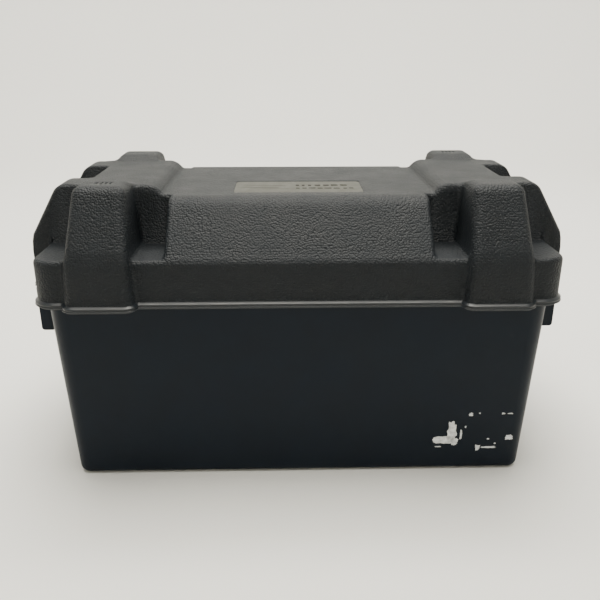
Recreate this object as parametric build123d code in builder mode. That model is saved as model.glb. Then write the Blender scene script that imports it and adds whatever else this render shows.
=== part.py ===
from build123d import *
import math
import os

os.makedirs("parts", exist_ok=True)

# A snap-top battery box with a deep cycle battery inside it.  Millimetres, +Z up, X along the length.
# The origin is the middle of the box's underside.

# ---------------------------------------------------------------- driving dimensions: tub
tub_length = 372.0          # outside, at the underside
tub_width = 200.0           # outside, at the underside
tub_height = 186.6          # underside to rim
tub_end_draft = 3.0         # degrees that the end walls lean outwards
tub_side_draft = 2.0        # the same for the front and back walls
tub_wall = 3.2
tub_floor = 4.0
tub_corner = 10.0           # upright corners, at the underside
tub_foot_radius = 6.0       # round between the walls and the underside
floor_rib_height = 2.0
floor_rib_width = 4.0
floor_rib_count = 7

# ---------------------------------------------------------------- driving dimensions: lid
lid_wall = 3.0
skirt_cover = 32.6          # how far the skirt comes down over the tub
skirt_end_gap = 1.22        # inside the skirt, beyond the tub's rim, at each end
skirt_side_gap = 1.984      # the same along the front and back
skirt_corner = 17.0
bulge_proud = 13.5          # end bulges beyond the skirt's corners
bulge_share = 0.525         # of the lid's width taken up by the end bulges
bulge_corner = 7.0
lid_seat_gap = 0.4          # lid ledge above the tub rim
bead_height = 3.6
bead_proud = 2.3
centre_foot_setback = 3.0   # foot of the front and back slopes behind the skirt
centre_slope_run = 36.5     # how far each slope goes back on its way up
centre_foot_rise = 1.0      # where the slope starts, above the ledge
flat_rise = 39.0            # flat top above the ledge
ridge_rise = 46.5           # end ridges above the ledge
recess_floor_width = 23.0   # between the centre section and a tower
ridge_foot_setback = 5.0    # where the flat top turns up, beyond the centre section
ridge_run = 7.0             # how far the rise to the ridge goes
end_block_setback = 13.0    # where the end slope starts, inboard of the skirt
end_recess_setback = 4.0    # recess wall behind the tower's outer face
end_recess_share = 0.46     # of the bulge taken up by the recess between its blocks
tower_width = 50.0
tower_setback = 26.0        # tower's outer face inboard of the skirt
tower_proud = 9.0           # tower beyond the skirt at the front and back
tower_rise = 51.0           # tower pad above the ledge
tower_slope_run = 29.5      # how far the tower's face goes back on its way up
tower_pad_width = 31.0      # pad, from its outer edge to its inner edge
tower_draw_in = 5.0         # how far each side face leans in by the pad
form_round = 6.0
hollow_round = 8.0
lid_rib_depth = 3.0
lid_rib_thick = 2.0

# ---------------------------------------------------------------- driving dimensions: label and vents
label_length = 104.0
label_width = 45.0
label_centre_y = -31.5
label_thick = 0.6
label_recess = 0.9
label_gap = 0.3
label_corner = 4.0
vent_count = 4
vent_pitch = 3.4
vent_slot_width = 1.6
vent_slot_length = 8.0
vent_inboard = 2.0          # slots' middle inboard of the tower's middle

# ---------------------------------------------------------------- driving dimensions: carry grips
grip_proud = 2.5            # lip's outer face beyond the lid
grip_width = 114.0
grip_thick = 3.0
grip_top_gap = 2.5          # below the lid's lower edge
grip_drop = 38.0            # lip's lower edge below the flange top
grip_round = 2.6            # lip's outer lower edge
grip_rib_depth = 6.5
grip_rib_count = 5
gusset_reach = 6.0
gusset_count = 3
gusset_pitch = 40.0
fin_count = 2
fin_thick = 3.0
fin_pitch = 80.0
fit_gap = 0.5               # between the lid's skirt and what locates it

# ---------------------------------------------------------------- driving dimensions: dividers
divider_thick = 3.0
divider_clearance = 5.5     # between the battery and a divider
divider_height = 145.0
divider_gap = 0.35          # in its slot, on each side
divider_hold = 8.0          # how far the slot ribs lap over its edge, at the floor
divider_hole = 13.0         # radius of the finger holes
divider_hole_pitch = 90.0
guide_thick = 2.5

# ---------------------------------------------------------------- driving dimensions: battery
battery_length = 306.0
battery_width = 173.0
container_height = 165.0
container_wall = 3.0
container_corner = 5.0
cell_count = 6
partition = 2.0
cover_thick = 4.0
shoulder_height = 11.0      # cover's low deck above the container's rim
deck_height = 29.0          # cover's raised middle above the container's rim
deck_setback = 52.5         # raised middle inside the battery's sides
deck_inset = 9.0            # raised middle short of the battery's ends

plate_pairs = 5             # positive plates in a cell; there is one more negative
positive_thick = 3.2
negative_thick = 2.2
separator_thick = 0.9
plate_pitch = 8.2           # from one positive plate to the next
plate_side_gap = 8.5        # between the plates and the container's walls
plate_height = 112.0
plate_lift = 14.0           # plates above the cell's floor
separator_over = 4.0        # separators beyond the plates, all round
lug_setback = 28.0          # from the plates' edge to the middle of the lugs
lug_width = 14.0
lug_height = 10.0
strap_thick = 6.0

terminal_setback = 13.0     # from the battery's end to the middle of the stud
column_radius = 6.0
boss_radius = 11.0
boss_top_radius = 10.0
boss_height = 14.0
stud_radius = 4.76
thread_pitch = 1.5875       # 16 threads to the inch
nut_turns = 10
washer_radius = 9.5
washer_thick = 2.0
nut_radius = 8.0
nut_height = 9.0
wing_span = 25.0
wing_thick = 3.0
wing_height = 14.0
thread_gap = 0.08
ring_radius = 12.8
ring_height = 2.0

cap_setback = 33.0          # from the battery's end to the middle of the first cap
plug_radius = 9.0
plug_length = 10.0
plug_gap = 0.5
cap_radius = 14.0
cap_height = 6.0
cap_bar_height = 4.0
cap_bar_width = 5.0
cap_vent_radius = 0.9
seal_radius = 12.5
seal_thick = 2.0
seal_compression_gap = 0.3

battery_label_length = 120.0
battery_label_height = 60.0
battery_label_thick = 0.4

# ---------------------------------------------------------------- worked out from them
end_lean = math.tan(math.radians(tub_end_draft))
side_lean = math.tan(math.radians(tub_side_draft))
rim_length = tub_length + 2 * tub_height * end_lean
rim_width = tub_width + 2 * tub_height * side_lean
skirt_bottom = tub_height - skirt_cover
skirt_length = rim_length + 2 * (skirt_end_gap + lid_wall)
skirt_width = rim_width + 2 * (skirt_side_gap + lid_wall)
lid_length = skirt_length + 2 * bulge_proud
bulge_width = skirt_width * bulge_share
end_recess_width = bulge_width * end_recess_share
core_width = bulge_width + form_round
ledge_top = tub_height + lid_seat_gap + lid_wall
flat_top = ledge_top + flat_rise
tower_outer = skirt_length / 2 - tower_setback
tower_inner = tower_outer - tower_width
tower_depth = skirt_width + 2 * tower_proud
tower_top_depth = tower_depth - 2 * tower_slope_run
tower_pad_inner = tower_top_depth - 2 * tower_pad_width
centre_half_length = tower_inner - recess_floor_width
centre_foot_width = skirt_width - 2 * centre_foot_setback
centre_top_width = centre_foot_width - 2 * centre_slope_run
ridge_foot = centre_half_length + ridge_foot_setback
ridge_edge = ridge_foot + ridge_run
end_edge = skirt_length / 2 - end_block_setback
end_recess_wall = tower_outer - end_recess_setback
vent_centre_x = (tower_inner + tower_outer) / 2 - vent_inboard
vent_centre_y = (tower_top_depth + tower_pad_inner) / 4
grip_reach = lid_length / 2 + grip_proud
grip_top = skirt_bottom - grip_top_gap
divider_centre_x = battery_length / 2 + divider_clearance + divider_thick / 2
battery_base = tub_floor + floor_rib_height
container_top = battery_base + container_height
shoulder_top = container_top + shoulder_height
deck_top = container_top + deck_height
deck_width = battery_width - 2 * deck_setback
cell_pitch = (battery_length - 2 * container_wall + partition) / cell_count
cell_length = cell_pitch - partition
cell_width = battery_width - 2 * container_wall
plate_width = cell_width - 2 * plate_side_gap
lug_y = plate_width / 2 - lug_setback
cell_floor = battery_base + container_wall
plate_base = cell_floor + plate_lift
plate_top = plate_base + plate_height
strap_base = plate_top + lug_height
strap_top = strap_base + strap_thick
link_radius = strap_thick / 2
terminal_x = battery_length / 2 - terminal_setback
terminal_y = -lug_y
boss_top = shoulder_top + boss_height
nut_base = boss_top + washer_thick + 2 * seal_compression_gap
stud_top = nut_base + nut_turns * thread_pitch
nut_bore = stud_radius + thread_gap
cap_pitch = (battery_length - 2 * cap_setback) / (cell_count - 1)
seal_base = deck_top + seal_compression_gap
cap_base = seal_base + seal_thick

signs = (-1, 1)


def spread(count, pitch):
    """Places of count things, pitch apart, about zero."""
    return [(index - (count - 1) / 2) * pitch for index in range(count)]


def half_length_at(height):
    """Half of the tub's outside length at a height."""
    return tub_length / 2 + height * end_lean


def half_width_at(height):
    """Half of the tub's outside width at a height."""
    return tub_width / 2 + height * side_lean


def tub_outline(height, inset):
    """The tub's rounded outline at a height, with each wall moved in by inset."""
    RectangleRounded(2 * (half_length_at(height) - inset), 2 * (half_width_at(height) - inset),
                     tub_corner + height * side_lean - inset)


def finish(piece, label):
    """Name a finished piece and write it."""
    piece.part.label = label
    export_step(piece.part, f"parts/{label}.step")


def mirrored(points):
    """A closed outline from its right half, given from the bottom up."""
    return points + [(-across, up) for across, up in reversed(points)]


# ================================================================ the lid's form
def lid_form(inset):
    """The lid's closed form with each face moved in by inset and its underside left open below."""
    base = skirt_bottom - 4 * inset
    top = ledge_top - inset

    end_profile = mirrored([
        (lid_length / 2, base),
        (lid_length / 2, ledge_top + centre_foot_rise),
        (end_edge, ledge_top + ridge_rise),
        (ridge_edge, ledge_top + ridge_rise),
        (ridge_foot, flat_top),
    ])
    centre_profile = mirrored([
        (centre_foot_width / 2, base),
        (centre_foot_width / 2, ledge_top + centre_foot_rise),
        (centre_top_width / 2, flat_top),
    ])
    tower_profile = mirrored([
        (tower_depth / 2, base),
        (tower_depth / 2, ledge_top),
        (tower_top_depth / 2, ledge_top + tower_rise),
        (tower_pad_inner / 2, ledge_top + tower_rise),
        (tower_pad_inner / 2 - tower_draw_in, ledge_top + ridge_rise - form_round),
    ])
    tower_front = [
        (tower_inner, base),
        (tower_outer, base),
        (tower_outer, ledge_top),
        (tower_outer - tower_draw_in, ledge_top + tower_rise),
        (tower_inner + tower_draw_in, ledge_top + tower_rise),
        (tower_inner, ledge_top),
    ]

    # ridges, flat top and end slopes: one outline along the length
    with BuildPart() as core:
        with BuildSketch(Plane.XZ) as outline:
            Polygon(*end_profile, align=None)
            ridge_feet = [v for v in outline.vertices() if abs(v.Y - flat_top) < 0.01]
            fillet(ridge_feet, hollow_round)
            crests = [v for v in outline.vertices() if v.Y > ledge_top + ridge_rise - 0.01]
            fillet(crests, form_round)
            if inset > 0:
                offset(amount=-inset, kind=Kind.INTERSECTION)
        extrude(amount=core_width / 2 - inset, both=True)
        # between the two end blocks the end steps back to the ridge wall
        for side in signs:
            recess_length = lid_length
            with BuildSketch(Plane.XY.offset(top)):
                with Locations((side * (end_recess_wall - inset + recess_length / 2), 0)):
                    Rectangle(recess_length, end_recess_width + 2 * inset)
            extrude(amount=lid_length, mode=Mode.SUBTRACT)

    # sloped centre section: one outline across the width
    with BuildPart() as centre:
        with BuildSketch(Plane.YZ) as outline:
            Polygon(*centre_profile, align=None)
            fillet([v for v in outline.vertices() if v.Y > skirt_bottom], form_round)
            if inset > 0:
                offset(amount=-inset, kind=Kind.INTERSECTION)
        extrude(amount=centre_half_length - inset, both=True)

    # a tower at the front and one at the back of each ridge, as one bar across the lid
    with BuildPart() as towers:
        with BuildSketch(Plane.YZ) as outline:
            Polygon(*tower_profile, align=None)
            crests = [v for v in outline.vertices() if v.Y > ledge_top + tower_rise - 0.01]
            outer_crests = [v for v in crests if abs(v.X) > tower_pad_inner / 2 + 1]
            fillet(outer_crests, form_round)
            if inset > 0:
                offset(amount=-inset, kind=Kind.INTERSECTION)
        extrude(amount=tower_outer + form_round, both=True)
        with BuildSketch(Plane.XZ) as sides:
            for side in signs:
                with BuildLine():
                    Polyline(*[(side * across, up) for across, up in tower_front], close=True)
                make_face()
            if inset > 0:
                offset(amount=-inset, kind=Kind.INTERSECTION)
        extrude(amount=tower_depth, both=True, mode=Mode.INTERSECT)

    # the skirt: corners, end bulges and the ledge that they leave
    with BuildPart() as form:
        with BuildSketch(Plane.XY.offset(base)):
            RectangleRounded(skirt_length - 2 * inset, skirt_width - 2 * inset, skirt_corner - inset)
            RectangleRounded(lid_length - 2 * inset, bulge_width - 2 * inset, bulge_corner - inset)
        extrude(amount=top - base)
        add(core.part)
        add(centre.part)
        add(towers.part)
    return form.part


lid_outside = lid_form(0.0)
lid_inside = lid_form(lid_wall)

with BuildPart() as lid:
    add(lid_outside)
    # bead round the lower edge, following the towers and the bulges
    with BuildSketch(Plane.XY.offset(skirt_bottom)):
        RectangleRounded(skirt_length + 2 * bead_proud, skirt_width + 2 * bead_proud, skirt_corner)
        RectangleRounded(lid_length + 2 * bead_proud, bulge_width + 2 * bead_proud, bulge_corner)
        for side in signs:
            with Locations((side * (tower_inner + tower_outer) / 2, 0)):
                Rectangle(tower_width + 2 * bead_proud, tower_depth + 2 * bead_proud)
    extrude(amount=bead_height)
    add(lid_inside, mode=Mode.SUBTRACT)
    # stiffening ribs under the flat top
    with BuildSketch(Plane.XY.offset(flat_top - lid_wall - lid_rib_depth)):
        with Locations(*[(place, 0) for place in spread(3, centre_half_length * 0.8)]):
            Rectangle(lid_rib_thick, centre_top_width - 4 * lid_wall)
    extrude(amount=lid_rib_depth + lid_wall / 2)
    # shallow recess for the label plate
    with BuildSketch(Plane.XY.offset(flat_top)):
        with Locations((0, label_centre_y)):
            RectangleRounded(label_length, label_width, label_corner)
    extrude(amount=-label_recess, mode=Mode.SUBTRACT)
    # vent slots through the front left pad and the back right pad
    for side in signs:
        with BuildSketch(Plane.XY.offset(ledge_top + ridge_rise - lid_wall)):
            for place in spread(vent_count, vent_pitch):
                with Locations((side * vent_centre_x + place, side * vent_centre_y)):
                    SlotOverall(vent_slot_length, vent_slot_width, rotation=90)
        extrude(amount=tower_rise, mode=Mode.SUBTRACT)
finish(lid, "lid")

with BuildPart() as lid_label_plate:
    with BuildSketch(Plane.XY.offset(flat_top - label_recess)):
        with Locations((0, label_centre_y)):
            RectangleRounded(label_length - 2 * label_gap, label_width - 2 * label_gap,
                             label_corner - label_gap)
    extrude(amount=label_thick)
finish(lid_label_plate, "lid_label_plate")

# ================================================================ tub
skirt_inside_width = skirt_width - 2 * lid_wall
bulge_inside = lid_length / 2 - lid_wall
bead_z = skirt_bottom + bead_height + 4
guide_face = half_width_at(tub_floor) - tub_wall - divider_gap - divider_hold

with BuildPart() as tub_outside:
    for height in (0, tub_height):
        with BuildSketch(Plane.XY.offset(height)):
            tub_outline(height, 0)
    loft(ruled=True)
    fillet(tub_outside.faces().sort_by(Axis.Z)[0].edges(), tub_foot_radius)

with BuildPart() as tub_inside:
    for height in (tub_floor, tub_height + tub_wall):
        with BuildSketch(Plane.XY.offset(height)):
            tub_outline(height, tub_wall)
    loft(ruled=True)
    fillet(tub_inside.faces().sort_by(Axis.Z)[0].edges(), tub_foot_radius - tub_wall)

# slots for the dividers: a pair of ribs on the front wall and a pair on the back wall, at each end
slot_half = divider_thick / 2 + divider_gap
with BuildPart() as guides:
    for side in signs:
        for place in (divider_centre_x - slot_half - guide_thick / 2,
                      divider_centre_x + slot_half + guide_thick / 2):
            with BuildSketch(Plane.XY.offset(tub_floor / 2)):
                for back in signs:
                    with Locations((side * place, back * (guide_face + tub_width / 2))):
                        Rectangle(guide_thick, tub_width)
            extrude(amount=divider_height)
    add(tub_outside.part, mode=Mode.INTERSECT)

with BuildPart() as tub:
    add(tub_outside.part)
    # locating bead along the front and back, just inside the lid's skirt
    with BuildSketch(Plane.XY.offset(bead_z)):
        Rectangle(tub_length - 2 * tub_corner, skirt_inside_width - 2 * fit_gap)
    extrude(amount=bead_height)
    # flange and turned-down lip at each end, with ribs behind the lip
    for side in signs:
        wall_x = half_length_at(grip_top) - tub_wall
        with BuildSketch(Plane.XY.offset(grip_top)):
            with Locations((side * (wall_x + grip_reach) / 2, 0)):
                Rectangle(grip_reach - wall_x, grip_width)
        extrude(amount=-grip_thick)
        with BuildSketch(Plane.XY.offset(grip_top - grip_drop)):
            with Locations((side * (grip_reach - grip_thick / 2), 0)):
                Rectangle(grip_thick, grip_width)
            rib_pitch = (grip_width - grip_thick) / (grip_rib_count - 1)
            for place in spread(grip_rib_count, rib_pitch):
                with Locations((side * (grip_reach - grip_thick - grip_rib_depth / 2), place)):
                    Rectangle(grip_rib_depth, grip_thick)
        extrude(amount=grip_drop)
        lip_face = tub.faces().sort_by(Axis.X)[-1 if side > 0 else 0]
        fillet(lip_face.edges().sort_by(Axis.Z)[0], grip_round)
        # gussets under the flange and locating fins above it
        for place in spread(gusset_count, gusset_pitch):
            with BuildSketch(Plane.XZ.offset(-place - grip_thick / 2)):
                gusset_low = grip_top - grip_thick - gusset_reach
                with BuildLine():
                    Polyline(
                        (side * (half_length_at(gusset_low) - tub_wall / 2), gusset_low),
                        (side * (half_length_at(grip_top) + gusset_reach), grip_top - grip_thick),
                        (side * wall_x, grip_top - grip_thick),
                        close=True,
                    )
                make_face()
            extrude(amount=grip_thick)
        for place in spread(fin_count, fin_pitch):
            with BuildSketch(Plane.XY.offset(grip_top - grip_thick / 2)):
                with Locations((side * (wall_x + bulge_inside - fit_gap) / 2, place)):
                    Rectangle(bulge_inside - fit_gap - wall_x, fin_thick)
            extrude(amount=tub_height - grip_top - grip_thick)
    # the inside
    add(tub_inside.part, mode=Mode.SUBTRACT)
    # ribs that carry the battery
    with BuildSketch(Plane.XY.offset(tub_floor)):
        for place in spread(floor_rib_count, battery_length / floor_rib_count):
            with Locations((place, 0)):
                Rectangle(floor_rib_width, battery_width)
    extrude(amount=floor_rib_height)
    add(guides.part)
finish(tub, "tub")

# ================================================================ dividers
divider_width = 2 * (guide_face + divider_hold)
for side, name in zip(signs, ("divider_left", "divider_right")):
    with BuildPart() as divider:
        with BuildSketch(Plane.YZ.offset(side * divider_centre_x - divider_thick / 2)):
            with Locations((0, tub_floor + divider_gap + divider_height / 2)):
                RectangleRounded(divider_width, divider_height, tub_foot_radius)
            hole_height = divider_height - divider_hole
            with Locations(*[(place, hole_height) for place in spread(2, divider_hole_pitch)]):
                Circle(divider_hole, mode=Mode.SUBTRACT)
        extrude(amount=divider_thick)
    finish(divider, name)

# ================================================================ battery container and cover
cell_places = spread(cell_count, cell_pitch)
link_z = strap_base + strap_thick / 2
link_places = spread(cell_count - 1, cell_pitch)


def link_y(index):
    """Intercell links swap sides from one partition to the next."""
    return lug_y if index % 2 == 0 else -lug_y


with BuildPart() as battery_container:
    with BuildSketch(Plane.XY.offset(battery_base)):
        RectangleRounded(battery_length, battery_width, container_corner)
    extrude(amount=container_height)
    with BuildSketch(Plane.XY.offset(cell_floor)):
        with Locations(*[(place, 0) for place in cell_places]):
            Rectangle(cell_length, cell_width)
    extrude(amount=container_height, mode=Mode.SUBTRACT)
    # two bridges in each cell keep the plates above the sediment
    with BuildSketch(Plane.XY.offset(cell_floor)):
        for place in spread(2, plate_width / 2):
            with Locations((0, place)):
                Rectangle(battery_length - container_wall, container_wall)
    extrude(amount=plate_lift - separator_over)
    # holes for the links
    for index, place in enumerate(link_places):
        with BuildSketch(Plane.YZ.offset(place - partition)):
            with Locations((link_y(index), link_z)):
                Circle(link_radius)
        extrude(amount=2 * partition, mode=Mode.SUBTRACT)
finish(battery_container, "battery_container")

cap_places = spread(cell_count, cap_pitch)
with BuildPart() as battery_cover:
    with BuildSketch(Plane.XY.offset(container_top)):
        RectangleRounded(battery_length, battery_width, container_corner)
    extrude(amount=shoulder_height)
    fillet(battery_cover.faces().sort_by(Axis.Z)[-1].edges(), cover_thick / 2)
    with BuildSketch(Plane.XY.offset(container_top)):
        RectangleRounded(battery_length - 2 * deck_inset, deck_width, container_corner)
    extrude(amount=deck_height)
    fillet(battery_cover.faces().sort_by(Axis.Z)[-1].edges(), cover_thick / 2)
    # hollow under the deck and under the shoulders
    with BuildSketch(Plane.XY.offset(container_top)):
        Rectangle(battery_length - 2 * deck_inset - 2 * cover_thick, deck_width - 2 * cover_thick)
    extrude(amount=deck_height - cover_thick, mode=Mode.SUBTRACT)
    with BuildSketch(Plane.XY.offset(container_top)):
        Rectangle(battery_length - 2 * container_wall - 2 * cover_thick, cell_width - 2 * cover_thick)
    extrude(amount=shoulder_height - cover_thick, mode=Mode.SUBTRACT)
    # filler holes and terminal holes
    with BuildSketch(Plane.XY.offset(container_top)):
        with Locations(*[(place, 0) for place in cap_places]):
            Circle(plug_radius + plug_gap)
        with Locations(*[(side * terminal_x, terminal_y) for side in signs]):
            Circle(column_radius + plug_gap)
    extrude(amount=deck_height, mode=Mode.SUBTRACT)
finish(battery_cover, "battery_cover")

with BuildPart() as battery_label:
    with BuildSketch(Plane.XZ.offset(battery_width / 2)):
        with Locations((0, battery_base + container_height / 2)):
            RectangleRounded(battery_label_length, battery_label_height, container_corner)
    extrude(amount=battery_label_thick)
finish(battery_label, "battery_label")

# ================================================================ plate groups, separators and links
strap_length = cell_length - 2 * separator_over


def plate_comb(cell_x, places, thick, side):
    """Plates at places, each with a lug up to one strap along the cell."""
    with BuildPart() as comb:
        for place in places:
            with BuildSketch(Plane.YZ.offset(cell_x + place - thick / 2)):
                with Locations((0, (plate_base + plate_top) / 2)):
                    Rectangle(plate_width, plate_height)
                with Locations((side * lug_y, (plate_top + strap_base) / 2)):
                    Rectangle(lug_width, lug_height)
            extrude(amount=thick)
        with BuildSketch(Plane.XY.offset(strap_base)):
            with Locations((cell_x, side * lug_y)):
                Rectangle(strap_length, lug_width)
        extrude(amount=strap_thick)
    return comb


positive_places = spread(plate_pairs, plate_pitch)
negative_places = spread(plate_pairs + 1, plate_pitch)
separator_places = spread(2 * plate_pairs, plate_pitch / 2)
leaf_offset = (positive_thick - negative_thick) / 4

for index, cell_x in enumerate(cell_places):
    # the positive strap sits at the front in the first cell, at the back in the next, and so on
    positive_side = -1 if index % 2 == 0 else 1
    finish(plate_comb(cell_x, positive_places, positive_thick, positive_side),
           f"positive_plates_{index + 1}")
    finish(plate_comb(cell_x, negative_places, negative_thick, -positive_side),
           f"negative_plates_{index + 1}")
    with BuildPart() as separators:
        for count, place in enumerate(separator_places):
            # each leaf stands in the middle of the gap between a thin plate and a thick one
            nudge = -leaf_offset if count % 2 == 0 else leaf_offset
            with BuildSketch(Plane.YZ.offset(cell_x + place + nudge - separator_thick / 2)):
                with Locations((0, (plate_base + plate_top) / 2)):
                    Rectangle(plate_width + separator_over, plate_height + separator_over)
            extrude(amount=separator_thick)
        with BuildSketch(Plane.XY.offset(plate_base - separator_over / 2)):
            with Locations((cell_x, 0)):
                Rectangle(separator_places[-1] - separator_places[0], plate_width)
        extrude(amount=-separator_over / 2)
    finish(separators, f"separators_{index + 1}")

for index, place in enumerate(link_places):
    with BuildPart() as link:
        link_length = partition + 2 * separator_over
        with BuildSketch(Plane.YZ.offset(place - link_length / 2)):
            with Locations((link_y(index), link_z)):
                Circle(link_radius)
        extrude(amount=link_length)
    finish(link, f"cell_link_{index + 1}")

# ================================================================ terminals
for side, name in zip(signs, ("positive", "negative")):
    centre = (side * terminal_x, terminal_y)
    with BuildPart() as terminal:
        with BuildSketch(Plane.XY.offset(strap_top)):
            with Locations(centre):
                Circle(column_radius)
        extrude(amount=shoulder_top - strap_top)
        with BuildSketch(Plane.XY.offset(shoulder_top)):
            with Locations(centre):
                Circle(boss_radius)
        with BuildSketch(Plane.XY.offset(boss_top)):
            with Locations(centre):
                Circle(boss_top_radius)
        loft()
    finish(terminal, f"{name}_terminal")

    with BuildPart() as stud:
        with BuildSketch(Plane.XY.offset(boss_top)):
            with Locations(centre):
                Circle(stud_radius)
        extrude(amount=stud_top - boss_top)
        chamfer(stud.faces().sort_by(Axis.Z)[-1].edges(), thread_pitch / 2)
    finish(stud, f"{name}_stud")

    with BuildPart() as ring:
        with BuildSketch(Plane.XY.offset(shoulder_top)):
            with Locations(centre):
                Circle(ring_radius)
                Circle(boss_radius + seal_compression_gap, mode=Mode.SUBTRACT)
        extrude(amount=ring_height)
    finish(ring, f"{name}_ring")

    with BuildPart() as washer:
        with BuildSketch(Plane.XY.offset(boss_top + seal_compression_gap)):
            with Locations(centre):
                Circle(washer_radius)
                Circle(nut_bore, mode=Mode.SUBTRACT)
        extrude(amount=washer_thick)
    finish(washer, f"{name}_washer")

    with BuildPart() as wing_nut:
        with BuildSketch(Plane.XY.offset(nut_base)):
            with Locations(centre):
                Circle(nut_radius)
        extrude(amount=nut_height)
        fillet(wing_nut.faces().sort_by(Axis.Z)[-1].edges(), wing_thick / 2)
        # two flat wings that lean out and up
        with BuildSketch(Plane.XZ.offset(-terminal_y - wing_thick / 2)):
            with BuildLine():
                Polyline(
                    (centre[0] - nut_radius / 2, nut_base + thread_pitch),
                    (centre[0] + nut_radius / 2, nut_base + thread_pitch),
                    (centre[0] + wing_span / 2, nut_base + nut_height),
                    (centre[0] + wing_span / 2, nut_base + wing_height),
                    (centre[0] + nut_radius, nut_base + nut_height),
                    (centre[0] - nut_radius, nut_base + nut_height),
                    (centre[0] - wing_span / 2, nut_base + wing_height),
                    (centre[0] - wing_span / 2, nut_base + nut_height),
                    close=True,
                )
            make_face()
        extrude(amount=wing_thick)
        with BuildSketch(Plane.XY.offset(nut_base)):
            with Locations(centre):
                Circle(nut_bore)
        extrude(amount=wing_height, mode=Mode.SUBTRACT)
    finish(wing_nut, f"{name}_wing_nut")

# ================================================================ vent caps
for index, place in enumerate(cap_places):
    with BuildPart() as seal:
        with BuildSketch(Plane.XY.offset(seal_base)):
            with Locations((place, 0)):
                Circle(seal_radius)
                Circle(plug_radius + thread_gap, mode=Mode.SUBTRACT)
        extrude(amount=seal_thick)
    finish(seal, f"cap_seal_{index + 1}")

    with BuildPart() as cap:
        with BuildSketch(Plane.XY.offset(cap_base + thread_gap)):
            with Locations((place, 0)):
                Circle(cap_radius)
        extrude(amount=cap_height)
        fillet(cap.faces().sort_by(Axis.Z)[-1].edges(), seal_thick / 2)
        # grip bar across the top
        with BuildSketch(Plane.XY.offset(cap_base + cap_height)):
            with Locations((place, 0)):
                SlotOverall(2 * cap_radius - cap_height, cap_bar_width)
        extrude(amount=cap_bar_height)
        # plug down through the seal and the cover
        with BuildSketch(Plane.XY.offset(cap_base + cap_height / 2)):
            with Locations((place, 0)):
                Circle(plug_radius)
        extrude(amount=-plug_length - cap_height / 2)
        # gas way up the middle, out at one side of the bar
        with BuildSketch(Plane.XY.offset(cap_base - plug_length)):
            with Locations((place, cap_bar_width)):
                Circle(cap_vent_radius)
        extrude(amount=plug_length + 2 * cap_height, mode=Mode.SUBTRACT)
    finish(cap, f"vent_cap_{index + 1}")
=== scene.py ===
import math
import bpy
import numpy as np
from bpy.props import FloatProperty, FloatVectorProperty, PointerProperty
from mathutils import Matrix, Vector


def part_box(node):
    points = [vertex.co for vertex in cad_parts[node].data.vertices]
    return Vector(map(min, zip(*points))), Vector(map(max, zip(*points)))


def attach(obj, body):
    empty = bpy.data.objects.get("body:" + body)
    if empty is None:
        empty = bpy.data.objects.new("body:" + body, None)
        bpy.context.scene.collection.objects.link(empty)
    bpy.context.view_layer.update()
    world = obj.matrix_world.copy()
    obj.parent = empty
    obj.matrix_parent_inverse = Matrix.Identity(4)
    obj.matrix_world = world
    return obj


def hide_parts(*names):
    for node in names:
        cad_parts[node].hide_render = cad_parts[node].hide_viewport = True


bl_info = {
    "name": "Deep cycle battery box",
    "version": (1, 0, 0),
    "blender": (4, 5, 0),
    "location": "View3D > Sidebar > Battery box",
    "description": "Builds the skins, finishes and stage of a battery box with its battery",
    "category": "Object",
}

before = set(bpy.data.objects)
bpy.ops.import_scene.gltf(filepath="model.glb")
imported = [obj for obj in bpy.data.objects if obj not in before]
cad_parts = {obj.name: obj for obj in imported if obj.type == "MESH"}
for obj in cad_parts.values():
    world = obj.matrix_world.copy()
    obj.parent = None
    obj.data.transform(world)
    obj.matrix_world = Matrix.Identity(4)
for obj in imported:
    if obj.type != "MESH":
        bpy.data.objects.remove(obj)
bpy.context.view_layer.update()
MM = 0.001


# ---------------------------------------------------------------- colours
def linear(text):
    """An sRGB hex colour as linear red, green and blue."""
    parts = [int(text[i:i + 2], 16) / 255 for i in (1, 3, 5)]
    return tuple(v / 12.92 if v <= 0.04045 else ((v + 0.055) / 1.055) ** 2.4 for v in parts)


def node_box(name):
    """Lowest and highest corner of a CAD piece, in millimetres."""
    low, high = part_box(name)
    return np.array(low) / MM, np.array(high) / MM


def colour_prop(name, description, text):
    return FloatVectorProperty(name=name, description=description, default=linear(text),
                               size=3, min=0.0, max=1.0, subtype="COLOR")


def length_prop(name, description, millimetres):
    return FloatProperty(name=name, description=description, default=millimetres * MM,
                         unit="LENGTH", subtype="DISTANCE")


class LidProps(bpy.types.PropertyGroup):
    round_over: length_prop("Round over", "Radius of the lid's outside edges", 5.0)
    hollow: length_prop("Hollow", "Radius where two of the lid's forms meet", 2.6)
    wall: length_prop("Wall", "Thickness of the lid's wall", 2.6)
    bead: length_prop("Bead", "How far the lower bead stands out", 2.3)
    grain: length_prop("Grain", "Pitch of the moulded pebble grain", 1.56)
    plastic: colour_prop("Lid plastic", "Charcoal polypropylene", "#13171B")
    foil: colour_prop("Label foil", "Satin aluminium foil label", "#3E3E38")
    print_ink: colour_prop("Label print", "Faded grey print on the foil", "#24251F")


class TubProps(bpy.types.PropertyGroup):
    # the blue in the tub's colour is a painted cool sheen, not the plastic's own tone
    plastic: colour_prop("Tub plastic", "Black polypropylene", "#0C141D")
    paper: colour_prop("Sticker remains", "Torn white paper left on the wall", "#C9CBCC")
    divider: colour_prop("Divider plastic", "Black polypropylene", "#1A1C1D")


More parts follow.
